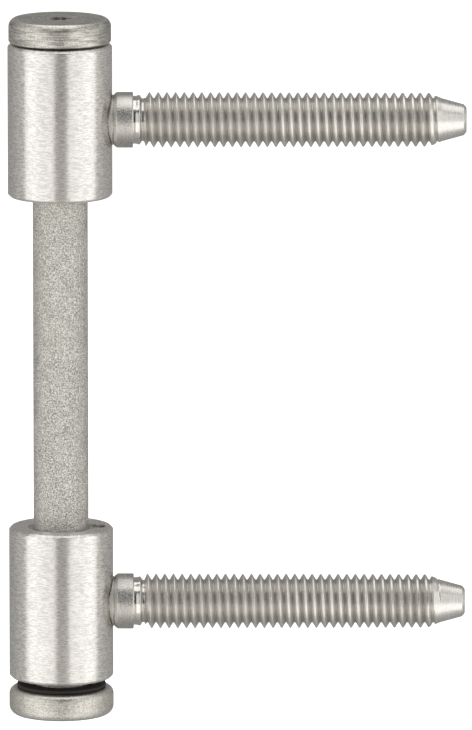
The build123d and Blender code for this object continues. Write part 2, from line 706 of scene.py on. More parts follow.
@dataclass(frozen=True)
class BearingPolymer:
    """Moulded bearing polymer with a fine speckle."""

    name: str
    pale: Colour
    deep: Colour
    roughness: float = 0.5

    def build(self) -> bpy.types.Material:
        """Builds the material.

        Returns:
            The material.
        """
        skin = Surface(self.name)
        work = skin.work
        marks = work.group(TURNING_MARKS, Vector=skin.mm, Lines=6.0, Strokes=1.5)
        grain = work.group(TUMBLED_GRAIN, Vector=skin.mm, Grain_Size=0.3, Pit_Spacing=1.0)
        tone = work.blend(0.5, grain["Grain"], grain["Patches"])
        skin.set("Base Color", work.tint(tone, self.deep, self.pale))
        skin.set(
            "Roughness", work.ramp(tone, 0.0, 1.0, self.roughness - 0.08, self.roughness + 0.1)
        )
        skin.set("Specular IOR Level", 0.45)
        skin.bump(work.blend(0.4, grain["Grain"], marks["Lines"]), 0.008)
        return skin.material


# ---------------------------------------------------------------------------------------------
# Meshes
# ---------------------------------------------------------------------------------------------


def rounded(points: Sequence[tuple], steps: int = 5) -> list[Point]:
    """Outline with arcs in place of its marked corners.

    Args:
        points: (radius, height) or (radius, height, rounding) in order.
        steps: Number of edges in each arc.

    Returns:
        The outline's points.
    """
    made: list[Point] = []
    for index, point in enumerate(points):
        here = Vector(point[:2])
        bend = point[2] if len(point) > 2 else 0.0
        if not bend:
            made.append((here.x, here.y))
            continue
        back = (Vector(points[index - 1][:2]) - here).normalized()
        on = (Vector(points[(index + 1) % len(points)][:2]) - here).normalized()
        half = math.acos(max(-1.0, min(1.0, back.dot(on)))) / 2
        reach = bend / math.tan(half)
        centre = here + (back + on).normalized() * (bend / math.sin(half))
        first = here + back * reach - centre
        last = here + on * reach - centre
        sweep = first.angle_signed(last)
        for step in range(steps + 1):
            turned = Matrix.Rotation(-sweep * step / steps, 2) @ first
            made.append((centre.x + turned.x, centre.y + turned.y))
    return made


def faced_rim(radius: float, face: float, way: float, steps: int = 10) -> list[tuple]:
    """Outline of a cap's outer rim: an arc from its side that the flat face cuts off crisply.

    Args:
        radius: Radius of the cap in mm.
        face: Height of the flat face in mm.
        way: 1 where the face is on top, -1 where it is below.
        steps: Number of edges in the arc.

    Returns:
        The outline's points, from the side to the face.
    """
    middle = face - way * (CAP_EDGE - CAP_FACING)
    last = math.asin((CAP_EDGE - CAP_FACING) / CAP_EDGE)
    made: list[tuple] = []
    for step in range(steps + 1):
        turn = last * step / steps
        made.append(
            (
                radius - CAP_EDGE * (1.0 - math.cos(turn)),
                middle + way * CAP_EDGE * math.sin(turn),
            )
        )
    made[-1] = (*made[-1], CRISP_EDGE)
    return made


def lathe(
    name: str,
    outline: Sequence[Point],
    axis: Axis = Axis.UP,
    height: float = 0.0,
    ring: int = RING,
) -> bpy.types.Object:
    """Closed solid of revolution in metres, at the origin.

    Args:
        name: Name of the object.
        outline: (radius, distance along the axis) in mm. It starts and ends on the axis, or is a
            loop clear of it.
        axis: The axis that it is turned about.
        height: Height of that axis's origin in mm.
        ring: Number of faces round it.

    Returns:
        The object.
    """
    shape = bmesh.new()
    rows = []
    for radius, along in outline:
        count = 1 if radius < 1e-6 else ring
        row = []
        for index in range(count):
            turn = 2 * math.pi * index / ring
            across = (radius * math.cos(turn), radius * math.sin(turn))
            place = (*across, along) if axis is Axis.UP else (along, *across)
            row.append(shape.verts.new((place[0] * MM, place[1] * MM, (place[2] + height) * MM)))
        rows.append(row)
    on_axis = len(rows[0]) == 1
    pairs = zip(rows, rows[1:]) if on_axis else zip(rows, rows[1:] + rows[:1])
    for first, second in pairs:
        for index in range(ring):
            after = (index + 1) % ring
            corners = [first[index % len(first)], first[after % len(first)]]
            corners += [second[after % len(second)], second[index % len(second)]]
            corners = list(dict.fromkeys(corners))
            if len(corners) > 2:
                shape.faces.new(corners)
    bmesh.ops.recalc_face_normals(shape, faces=shape.faces)
    return placed(name, shape)


def placed(name: str, shape: bmesh.types.BMesh) -> bpy.types.Object:
    """Turns a bmesh into an object in the scene and frees it.

    Args:
        name: Name of the object.
        shape: The bmesh.

    Returns:
        The object.
    """
    mesh = bpy.data.meshes.new(name)
    shape.to_mesh(mesh)
    shape.free()
    made = bpy.data.objects.new(name, mesh)
    bpy.context.scene.collection.objects.link(made)
    return made


def prism(name: str, plan: Sequence[Point], low: float, high: float) -> bpy.types.Object:
    """Closed straight-sided block in metres.

    Args:
        name: Name of the object.
        plan: Its outline in mm, seen from above.
        low: Height of its bottom in mm.
        high: Height of its top in mm.

    Returns:
        The object.
    """
    shape = bmesh.new()
    floor = [shape.verts.new((x * MM, y * MM, low * MM)) for x, y in plan]
    roof = [shape.verts.new((x * MM, y * MM, high * MM)) for x, y in plan]
    shape.faces.new(floor)
    shape.faces.new(roof)
    for index in range(len(plan)):
        after = (index + 1) % len(plan)
        shape.faces.new((floor[index], floor[after], roof[after], roof[index]))
    bmesh.ops.recalc_face_normals(shape, faces=shape.faces)
    return placed(name, shape)


def carved(
    body: bpy.types.Object,
    *cutters: bpy.types.Object,
    joined: Sequence[bpy.types.Object] = (),
) -> bpy.types.Object:
    """Cuts some solids from a body, after joining others to it, and leaves a plain mesh.

    Args:
        body: The body.
        *cutters: Solids to cut away. They are deleted afterwards.
        joined: Solids to add first. They are deleted afterwards.

    Returns:
        The body.
    """
    for other, operation in [(o, "UNION") for o in joined] + [(o, "DIFFERENCE") for o in cutters]:
        modifier = body.modifiers.new("carve", "BOOLEAN")
        modifier.object = other
        modifier.operation = operation
        modifier.solver = "EXACT"
    plain = bpy.data.meshes.new_from_object(
        body.evaluated_get(bpy.context.evaluated_depsgraph_get())
    )
    body.modifiers.clear()
    body.data = plain
    for other in (*cutters, *joined):
        bpy.data.objects.remove(other)
    return body


def dressed(
    piece: bpy.types.Object, material: bpy.types.Material, sharp: float = 32.0
) -> bpy.types.Object:
    """Shades a piece smooth up to an angle and gives it its material.

    Args:
        piece: The piece.
        material: Its material.
        sharp: Edges sharper than this many degrees stay crisp.

    Returns:
        The piece.
    """
    mesh = piece.data
    mesh.shade_smooth()
    shape = bmesh.new()
    shape.from_mesh(mesh)
    bmesh.ops.remove_doubles(shape, verts=shape.verts, dist=2e-7)
    bmesh.ops.dissolve_degenerate(shape, edges=shape.edges, dist=1e-7)
    for edge in shape.edges:
        edge.smooth = edge.calc_face_angle(0.0) < math.radians(sharp)
    shape.to_mesh(mesh)
    shape.free()
    mesh.materials.clear()
    mesh.materials.append(material)
    return piece


def mounted(piece: bpy.types.Object, node: str, body: str) -> None:
    """Puts a finished piece in the frame in place of its CAD node.

    Args:
        piece: The piece.
        node: The CAD node that it stands for.
        body: The CAD body that it rides on.
    """
    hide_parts(node)
    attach(piece, body)
    triangles = sum(len(face.vertices) - 2 for face in piece.data.polygons)
    log.info("%s: %d triangles, rides on %s", piece.name, triangles, body)


# ---------------------------------------------------------------------------------------------
# The thread, as geometry nodes
# ---------------------------------------------------------------------------------------------


@dataclass(frozen=True)
class ThreadForm:
    """Sizes of a rolled thread along +X, in mm."""

    start: float = 12.0
    end: float = 54.7
    full_from: float = 12.35
    full_to: float = 52.85
    pitch: float = 1.25
    crest: float = 3.97
    outer_crest: float = 3.85
    root: float = 3.1
    end_radius: float = 3.08
    root_flat: float = 0.14
    flank_angle: float = 30.0
    crest_round: float = 0.035
    samples: int = 14
    ring: int = 96


class ThreadTree:
    """Geometry node tree that turns a grid into a closed helical thread."""

    NUMBERS = (
        "Start",
        "End",
        "Full From",
        "Full To",
        "Pitch",
        "Crest Radius",
        "Outer Crest Radius",
        "Root Radius",
        "End Radius",
        "Root Flat",
        "Flank Slope",
        "Crest Round",
        "Crest At Top",
        "Axis Height",
    )
    COUNTS = ("Samples", "Ring", "Rows")

    def __init__(self) -> None:
        """Builds the tree."""
        self.group = bpy.data.node_groups.new("rolled_thread", "GeometryNodeTree")
        self.work = Tree(self.group)
        face = self.group.interface
        face.new_socket("Geometry", in_out="INPUT", socket_type="NodeSocketGeometry")
        for label in self.NUMBERS:
            face.new_socket(label, in_out="INPUT", socket_type="NodeSocketFloat")
        for label in self.COUNTS:
            face.new_socket(label, in_out="INPUT", socket_type="NodeSocketInt")
        face.new_socket("Material", in_out="INPUT", socket_type="NodeSocketMaterial")
        face.new_socket("Geometry", in_out="OUTPUT", socket_type="NodeSocketGeometry")
        self.entry = self.work.node("NodeGroupInput").outputs
        self._build()

    def _build(self) -> None:
        """Adds the nodes."""
        work, given = self.work, self.entry
        columns = work.math(MathOp.ADD, given["Ring"], 1.0)
        grid = work.node("GeometryNodeMeshGrid")
        work.feed(grid.inputs["Vertices X"], given["Rows"])
        work.feed(grid.inputs["Vertices Y"], columns)
        index = work.node("GeometryNodeInputIndex").outputs[0]
        row = work.math(
            MathOp.FLOOR, work.math(MathOp.DIVIDE, work.math(MathOp.ADD, index, 0.5), columns)
        )
        column = work.math(MathOp.SUBTRACT, index, work.math(MathOp.MULTIPLY, row, columns))
        turn = work.math(MathOp.DIVIDE, column, given["Ring"])
        angle = work.math(MathOp.MULTIPLY, turn, 2 * math.pi)
        lap = work.math(
            MathOp.FLOOR,
            work.math(MathOp.DIVIDE, work.math(MathOp.ADD, row, 0.5), given["Samples"]),
        )
        step = work.math(MathOp.SUBTRACT, row, work.math(MathOp.MULTIPLY, lap, given["Samples"]))
        even = work.math(MathOp.DIVIDE, step, given["Samples"])
        swing = work.math(MathOp.SINE, work.math(MathOp.MULTIPLY, even, 4 * math.pi))
        phase = work.math(MathOp.SUBTRACT, even, work.math(MathOp.MULTIPLY, swing, 0.045))
        along = self._along(lap, phase, turn)
        reach = self._reach(phase, along)
        across = work.math(MathOp.MULTIPLY, reach, work.math(MathOp.COSINE, angle))
        upward = work.math(MathOp.MULTIPLY, reach, work.math(MathOp.SINE, angle))
        upward = work.math(MathOp.ADD, upward, given["Axis Height"])
        scale = work.node("ShaderNodeVectorMath", operation="SCALE")
        work.feed(scale.inputs[0], work.join(along, across, upward))
        scale.inputs["Scale"].default_value = MM
        move = work.node("GeometryNodeSetPosition")
        work.feed(move.inputs["Geometry"], grid.outputs["Mesh"])
        work.feed(move.inputs["Position"], scale.outputs[0])
        weld = work.node("GeometryNodeMergeByDistance")
        work.feed(weld.inputs["Geometry"], move.outputs[0])
        weld.inputs["Distance"].default_value = 5e-7
        real = work.node("GeometryNodeRealizeInstances")
        work.feed(real.inputs[0], weld.outputs[0])
        paint = work.node("GeometryNodeSetMaterial")
        work.feed(paint.inputs["Geometry"], real.outputs[0])
        work.feed(paint.inputs["Material"], given["Material"])
        leave = work.node("NodeGroupOutput")
        work.feed(leave.inputs[0], paint.outputs[0])

    def _along(self, lap: object, phase: object, turn: object) -> bpy.types.NodeSocket:
        """Distance along the stud, kept between the thread's two ends.

        Args:
            lap: Number of the pitch.
            phase: Share of the pitch, with the crest at 0 and the root at a half.
            turn: Share of the turn round the stud.

        Returns:
            The distance in mm.
        """
        work, given = self.work, self.entry
        laps = work.math(MathOp.ADD, work.math(MathOp.ADD, lap, phase), turn)
        free = work.math(MathOp.MULTIPLY, laps, given["Pitch"])
        free = work.math(MathOp.ADD, free, given["Crest At Top"])
        kept = work.math(MathOp.MAXIMUM, free, given["Start"])
        return work.math(MathOp.MINIMUM, kept, given["End"])

    def _reach(self, phase: object, along: object) -> bpy.types.NodeSocket:
        """Radius of the thread.

        Args:
            phase: Share of the pitch, with the crest at 0 and the root at a half.
            along: Distance along the stud.

        Returns:
            The radius in mm.
        """
        work, given = self.work, self.entry
        off_root = work.math(MathOp.ABSOLUTE, work.math(MathOp.SUBTRACT, phase, 0.5))
        off_root = work.math(MathOp.MULTIPLY, off_root, given["Pitch"])
        rise = work.math(
            MathOp.SUBTRACT, off_root, work.math(MathOp.MULTIPLY, given["Root Flat"], 0.5)
        )
        rise = work.math(MathOp.MULTIPLY, rise, given["Flank Slope"])
        reach = work.math(MathOp.ADD, rise, given["Root Radius"])
        share = work.node("ShaderNodeMapRange")
        for slot, item in enumerate(
            (
                along,
                given["Full From"],
                given["Full To"],
                given["Crest Radius"],
                given["Outer Crest Radius"],
            )
        ):
            work.feed(share.inputs[slot], item)
        crest = share.outputs[0]
        reach = work.math(MathOp.SMOOTH_MINIMUM, reach, crest, given["Crest Round"])
        reach = work.math(MathOp.SMOOTH_MAXIMUM, reach, given["Root Radius"], given["Crest Round"])
        for near, far, low, high in (
            ("Start", "Full From", "End Radius", "Crest Radius"),
            ("End", "Full To", "End Radius", "Outer Crest Radius"),
        ):
            slope = work.node("ShaderNodeMapRange")
            for slot, item in enumerate((along, given[near], given[far], given[low], given[high])):
                work.feed(slope.inputs[slot], item)
            slope.clamp = False
            reach = work.math(MathOp.MINIMUM, reach, slope.outputs[0])
        return reach

    def run(
        self,
        name: str,
        form: ThreadForm,
        crest_at_top: float,
        height: float,
        material: bpy.types.Material,
    ) -> bpy.types.Object:
        """Makes one thread and converts it to a plain mesh.

        Args:
            name: Name of the object.
            form: The thread's sizes.
            crest_at_top: Distance along the stud of a crest on its upper side.
            height: Height of the stud's axis in mm.
            material: The thread's material.

        Returns:
            The object, open at both ends.
        """
        laps = math.ceil((form.end - form.start) / form.pitch) + 3
        quarter = form.pitch / 4
        first = crest_at_top - quarter
        while first > form.start - form.pitch:
            first -= form.pitch
        values = {
            "Start": form.start,
            "End": form.end,
            "Full From": form.full_from,
            "Full To": form.full_to,
            "Pitch": form.pitch,
            "Crest Radius": form.crest,
            "Outer Crest Radius": form.outer_crest,
            "Root Radius": form.root,
            "End Radius": form.end_radius,
            "Root Flat": form.root_flat,
            "Flank Slope": 1.0 / math.tan(math.radians(form.flank_angle)),
            "Crest Round": form.crest_round,
            "Crest At Top": first,
            "Axis Height": height,
            "Samples": form.samples,
            "Ring": form.ring,
            "Rows": laps * form.samples + 1,
            "Material": material,
        }
        made = bpy.data.objects.new(name, bpy.data.meshes.new(name))
        bpy.context.scene.collection.objects.link(made)
        modifier = made.modifiers.new("rolled_thread", "NODES")
        modifier.node_group = self.group
        for item in self.group.interface.items_tree:
            if item.in_out == "INPUT" and item.name in values:
                modifier[item.identifier] = values[item.name]
        plain = bpy.data.meshes.new_from_object(
            made.evaluated_get(bpy.context.evaluated_depsgraph_get())
        )
        made.modifiers.clear()
        made.data = plain
        return made


# ---------------------------------------------------------------------------------------------
# Pieces
# ---------------------------------------------------------------------------------------------


@dataclass
class Socket:
    """Six-lobe drive socket, in mm."""

    core: float = 1.2
    lobe: float = 0.33
    reach: float = 1.635
    depth: float = 1.5

    def cutter(self, name: str, low: float, high: float) -> bpy.types.Object:
        """Solid that cuts the socket.

        Args:
            name: Name of the cutter.
            low: Height of its bottom in mm.
            high: Height of its top in mm.

        Returns:
            The cutter.
        """
        plan = []
        for step in range(180):
            turn = 2 * math.pi * step / 180
            plan.append((self._edge(turn) * math.cos(turn), self._edge(turn) * math.sin(turn)))
        return prism(name, plan, low, high)

    def _edge(self, turn: float) -> float:
        """Distance from the middle to the socket's wall in one direction."""
        best = self.core
        centre = self.reach - self.lobe
        for lobe in range(6):
            off = math.remainder(turn - lobe * math.pi / 3, 2 * math.pi)
            miss = centre * math.sin(off)
            if abs(miss) < self.lobe and math.cos(off) > 0:
                best = max(best, centre * math.cos(off) + math.sqrt(self.lobe**2 - miss**2))
        return best


@dataclass
class StudShape:
    """Turned ends of a stud, in mm from the pin's axis."""

    spigot_radius: float = 3.0
    spigot_start: float = 5.0
    seat_start: float = 6.9
    wall: float = 7.5
    seat_radius: float = 3.68
    groove_radius: float = 3.52
    groove_width: float = 0.12
    collar_radius: float = 4.0
    collar_start: float = 8.15
    collar_end: float = 10.45
    collar_edge: float = 0.12
    neck_radius: float = 3.43
    rim_radius: float = 3.6
    rim: float = 11.4
    relief: float = 11.72
    tip_radius: float = 2.23
    tip_cone_end: float = 57.8
    end: float = 58.2


@dataclass
class LeafPart:
    """Knuckle with its stud and bush: one half of what is fixed to the door leaf."""

    level: str
    centre: float
    notch_side: float
    crest_at_top: float
    knuckle_finish: bpy.types.Material
    stud_finish: bpy.types.Material
    bush_finish: bpy.types.Material
    thread_tree: ThreadTree
    radius: float = 7.5
    height: float = 22.0
    edge: float = 0.35
    bore: float = 4.7
    bore_edge: float = 0.15
    notch_width: float = 2.75
    notch_reach: float = 6.4
    notch_depth: float = 2.0
    lug_width: float = 2.35
    lug_reach: float = 5.95
    lug_depth: float = 1.6
    lug_recess: float = 0.35
    bush_bore: float = 4.0
    bush_recess: float = 0.2
    stud: StudShape = field(default_factory=StudShape)
    thread: ThreadForm = field(default_factory=ThreadForm)

    @property
    def body(self) -> str:
        """Name of the CAD body that the part rides on."""
        return f"{self.level}_leaf_part"

    def build(self) -> None:
        """Builds the three pieces and puts them in the frame."""
        mounted(self._knuckle(), f"{self.level}_knuckle", self.body)
        mounted(self._stud(), f"{self.level}_stud", self.body)
        mounted(self._bush(), f"{self.level}_bush", self.body)

    def _keyway(
        self, name: str, width: float, reach: float, depth: float, recess: float, over: float
    ) -> bpy.types.Object:
        """Round-ended block along +X at the notched end face.

        Args:
            name: Name of the object.
            width: Its width in mm.
            reach: How far it reaches from the pin's axis.
            depth: How deep it is, from the recess inwards.
            recess: How far below the end face it starts.
            over: How far it stands beyond its start, for a clean cut.

        Returns:
            The block.
        """
        half = width / 2
        straight = reach - half
        plan = [(0.0, -half)]
        for step in range(17):
            turn = math.radians(-90 + 180 * step / 16)
            plan.append((straight + half * math.cos(turn), half * math.sin(turn)))
        plan.append((0.0, half))
        face = self.centre + self.notch_side * (self.height / 2 - recess)
        ends = sorted((face - self.notch_side * depth, face + self.notch_side * over))
        return prism(name, plan, *ends)

    def _knuckle(self) -> bpy.types.Object:
        """Drilled barrel with its notch and stud hole.

        Returns:
            The piece.
        """
        half = self.height / 2
        low, high = self.centre - half, self.centre + half
        inner, outer, edge = self.bore, self.radius, self.edge
        outline = rounded(
            [
                (inner, low + self.bore_edge),
                (inner + self.bore_edge, low),
                (outer - edge, low, 0.12),
                (outer, low + edge, 0.25),
                (outer, high - edge, 0.25),
                (outer - edge, high, 0.12),
                (inner + self.bore_edge, high),
                (inner, high - self.bore_edge),
            ]
        )
        barrel = lathe(f"{self.level}_barrel", outline)
        notch = self._keyway(
            "notch", self.notch_width, self.notch_reach, self.notch_depth, 0.0, 1.0
        )
        shape = self.stud
        hole_outline = [
            (0.0, 3.0),
            (shape.spigot_radius, 3.0),
            (shape.spigot_radius, shape.seat_start - 0.05),
            (shape.seat_radius + 0.12, shape.wall),
            (shape.seat_radius + 0.7, shape.wall + 0.65),
            (0.0, shape.wall + 0.65),
        ]
        hole = lathe("stud_hole", hole_outline, Axis.OUT, self.centre)
        return dressed(carved(barrel, notch, hole), self.knuckle_finish)

    def _stud(self) -> bpy.types.Object:
        """Turned ends and rolled thread, welded into one closed mesh.

        Returns:
            The piece.
        """
        shape, form = self.stud, self.thread
        inner = rounded(
            [
                (0.0, shape.spigot_start),
                (shape.spigot_radius, shape.spigot_start),
                (shape.spigot_radius, shape.seat_start),
                (shape.seat_radius, shape.wall, 0.08),
                (shape.groove_radius, shape.wall + shape.groove_width),
                (shape.seat_radius, shape.wall + 2 * shape.groove_width, 0.05),
                (shape.collar_radius, shape.collar_start, 0.25),
                (shape.collar_radius, shape.collar_end, shape.collar_edge),
                (shape.neck_radius, shape.collar_end, 0.1),
                (shape.neck_radius + 0.02, shape.collar_end + 0.45, 0.4),
                (shape.rim_radius, shape.rim, 0.15),
                (form.end_radius, shape.relief, 0.12),
                (form.end_radius, form.start),
            ],
            4,
        )
        outer = rounded(
            [
                (form.end_radius, form.end),
                (shape.tip_radius, shape.tip_cone_end, 0.15),
                (shape.tip_radius - 0.45, shape.end, 0.25),
                (0.0, shape.end),
            ],
            4,
        )
        thread = self.thread_tree.run(
            f"{self.level}_threaded_stud", form, self.crest_at_top, self.centre, self.stud_finish
        )
        joined = bmesh.new()
        joined.from_mesh(thread.data)
        for outline in (inner, outer):
            end = half_lathe(outline, self.centre, form.ring)
            joined.from_mesh(end)
            bpy.data.meshes.remove(end)
        bmesh.ops.remove_doubles(joined, verts=joined.verts, dist=1e-6)
        bmesh.ops.dissolve_degenerate(joined, edges=joined.edges, dist=1e-7)
        bmesh.ops.recalc_face_normals(joined, faces=joined.faces)
        joined.to_mesh(thread.data)
        joined.free()
        return dressed(thread, self.stud_finish, 40.0)

    def _bush(self) -> bpy.types.Object:
        """Bearing sleeve with its lug.

        Returns:
            The piece.
        """
        half = self.height / 2 - self.bush_recess
        low, high = self.centre - half, self.centre + half
        outline = rounded(
            [
                (self.bush_bore, low, 0.1),
                (self.bore - 0.01, low, 0.1),
                (self.bore - 0.01, high, 0.1),
                (self.bush_bore, high, 0.1),
            ],
            3,
        )
        sleeve = lathe(f"{self.level}_bearing_bush", outline)
        lug = self._keyway(
            "lug", self.lug_width, self.lug_reach, self.lug_depth, self.lug_recess, 0.0
        )
        reamer = lathe(
            "reamer",
            [
                (0.0, low - 1.0),
                (self.bush_bore, low - 1.0),
                (self.bush_bore, high + 1.0),
                (0.0, high + 1.0),
            ],
        )
        return dressed(carved(sleeve, reamer, joined=(lug,)), self.bush_finish)


def half_lathe(outline: Sequence[Point], height: float, ring: int) -> bpy.types.Mesh:
    """Open mesh of revolution about a stud's axis, whose open end meets a thread.

    Args:
        outline: (radius, distance along X) in mm.
        height: Height of the stud's axis in mm.
        ring: Number of faces round it.

    Returns:
        The mesh.
    """
    shape = bmesh.new()
    rows = []
    for radius, along in outline:
        count = 1 if radius < 1e-6 else ring
        rows.append(
            [
                shape.verts.new(
                    (
                        along * MM,
                        radius * math.cos(2 * math.pi * index / ring) * MM,
                        (radius * math.sin(2 * math.pi * index / ring) + height) * MM,
                    )
                )
                for index in range(count)
            ]
        )
    for first, second in zip(rows, rows[1:]):
        for index in range(ring):
            after = (index + 1) % ring
            corners = [first[index % len(first)], first[after % len(first)]]
            corners += [second[after % len(second)], second[index % len(second)]]
            corners = list(dict.fromkeys(corners))
            if len(corners) > 2:
                shape.faces.new(corners)
    mesh = bpy.data.meshes.new("stud_end")
    shape.to_mesh(mesh)
    shape.free()
    return mesh


@dataclass
class PinAssembly:
    """Pin with the disc head that is screwed into its top, in mm."""

    pin_finish: bpy.types.Material
    head_finish: bpy.types.Material
    top: float
    bottom: float
    radius: float = 3.95
    edge: float = 0.3
    hole_radius: float = 2.55
    hole_depth: float = 9.5
    hole_mouth: float = 0.3
    head_radius: float = 7.35
    head_height: float = 3.35
    head_under_edge: float = 0.3
    shank_radius: float = 2.5
    shank_length: float = 7.6
    socket: Socket = field(default_factory=Socket)

    def build(self) -> None:
        """Builds the pin and its head and puts them in the frame."""
        mounted(self._pin(), "hinge_pin", "pin")
        mounted(self._head(), "head_cap", "pin")

    def _pin(self) -> bpy.types.Object:
        """Round pin, tapped at both ends.

        Returns:
            The piece.
        """
        point = self.hole_radius / math.tan(math.radians(59.0))
        mouth = self.hole_radius + self.hole_mouth
        outline = [
            (0.0, self.bottom + self.hole_depth + point),
            (self.hole_radius, self.bottom + self.hole_depth),
            (self.hole_radius, self.bottom + self.hole_mouth),
            (mouth, self.bottom),
            (self.radius - self.edge, self.bottom, 0.1),
            (self.radius, self.bottom + self.edge, 0.2),
            (self.radius, self.top - self.edge, 0.2),
            (self.radius - self.edge, self.top, 0.1),
            (mouth, self.top),
            (self.hole_radius, self.top - self.hole_mouth),
            (self.hole_radius, self.top - self.hole_depth),
            (0.0, self.top - self.hole_depth - point),
        ]
        return dressed(lathe("long_pin", rounded(outline)), self.pin_finish)

    def _head(self) -> bpy.types.Object:
        """Disc head with its shank and drive socket.

        Returns:
            The piece.
        """
        top = self.top + self.head_height
        outline = [
            (0.0, self.top - self.shank_length),
            (self.shank_radius - 0.45, self.top - self.shank_length),
            (self.shank_radius, self.top - self.shank_length + 0.45),
            (self.shank_radius, self.top),
            (self.head_radius, self.top, self.head_under_edge),
            *faced_rim(self.head_radius, top, 1.0),
            (0.0, top),
        ]
        head = lathe("pin_head", rounded(outline, 6))
        cutter = self.socket.cutter("socket", top - self.socket.depth, top + 1.0)
        return dressed(carved(head, cutter), self.head_finish)


@dataclass
class ButtonAssembly:
    """Round button that is screwed on below, and the washer that lies on it, in mm."""

    button_finish: bpy.types.Material
    washer_finish: bpy.types.Material
    top: float
    radius: float = 7.535
    height: float = 3.8
    top_edge: float = 1.0
    shank_radius: float = 2.5
    shank_length: float = 7.6
    washer_gap: float = 0.05
    washer_radius: float = 6.4
    washer_bore: float = 4.05
    washer_thickness: float = 0.5
    socket: Socket = field(default_factory=Socket)

    def build(self) -> None:
        """Builds the button and its washer and puts them in the frame."""
        mounted(self._button(), "end_button", "button")
        mounted(self._washer(), "thrust_washer", "washer")

    def _button(self) -> bpy.types.Object:
        """Button with its shank up and its drive socket below.

        Returns:
            The piece.
        """
        bottom = self.top - self.height
        outline = [
            (0.0, bottom),
            *reversed(faced_rim(self.radius, bottom, -1.0)),
            (self.radius, self.top, self.top_edge),
            (self.shank_radius, self.top),
            (self.shank_radius, self.top + self.shank_length - 0.45),
            (self.shank_radius - 0.45, self.top + self.shank_length),
            (0.0, self.top + self.shank_length),
        ]
        button = lathe("screw_button", rounded(outline, 8))
        cutter = self.socket.cutter("socket", bottom - 1.0, bottom + self.socket.depth)
        return dressed(carved(button, cutter), self.button_finish)

    def _washer(self) -> bpy.types.Object:
        """Flat thrust washer. Its near-black colour is painted shade: the dark ring in the gap
        above the button.

        Returns:
            The piece.
        """
        low = self.top + self.washer_gap
        high = low + self.washer_thickness
        outline = rounded(
            [
                (self.washer_bore, low, 0.08),
                (self.washer_radius, low, 0.1),
                (self.washer_radius, high, 0.1),
                (self.washer_bore, high, 0.08),
            ],
            3,
        )
        return dressed(lathe("bearing_washer", outline), self.washer_finish)


# ---------------------------------------------------------------------------------------------
# Studio
# ---------------------------------------------------------------------------------------------


def soft_light(
    name: str,
    place: Sequence[float],
    aim: Sequence[float],
    width: float,
    height: float,
    radiance: float,
    colour: Colour = (1.0, 0.995, 0.985),
) -> bpy.types.Object:
    """Rectangular soft light, sizes in metres.

    Args:
        name: Name of the light.
        place: Its middle.
        aim: The point that it faces.
        width: Its width.
        height: Its height.
        radiance: How bright its face is.
        colour: Its colour.

    Returns:
        The light.
    """
    lamp = bpy.data.lights.new(name, "AREA")
    lamp.shape = "RECTANGLE"
    lamp.size = width
    lamp.size_y = height
    lamp.energy = radiance * math.pi * width * height
    lamp.color = colour
    made = bpy.data.objects.new(name, lamp)
    bpy.context.scene.collection.objects.link(made)
    made.location = place
    toward = Vector(aim) - Vector(place)
    made.rotation_euler = toward.to_track_quat("-Z", "Y").to_euler()
    made.visible_camera = False
    return made


@dataclass(frozen=True)
class SoftBox:
    """Upright soft panel round the hinge, in degrees from the camera's side and in metres."""

    name: str
    azimuth: float
    distance: float
    middle: float
    width: float
    height: float
    radiance: float

    def build(self) -> bpy.types.Object:
        """Builds the panel.

        Returns:
            The light.
        """
        turn = math.radians(self.azimuth)
        place = (self.distance * math.sin(turn), -self.distance * math.cos(turn), self.middle)
        return soft_light(
            self.name, place, (0.0, 0.0, self.middle), self.width, self.height, self.radiance
        )


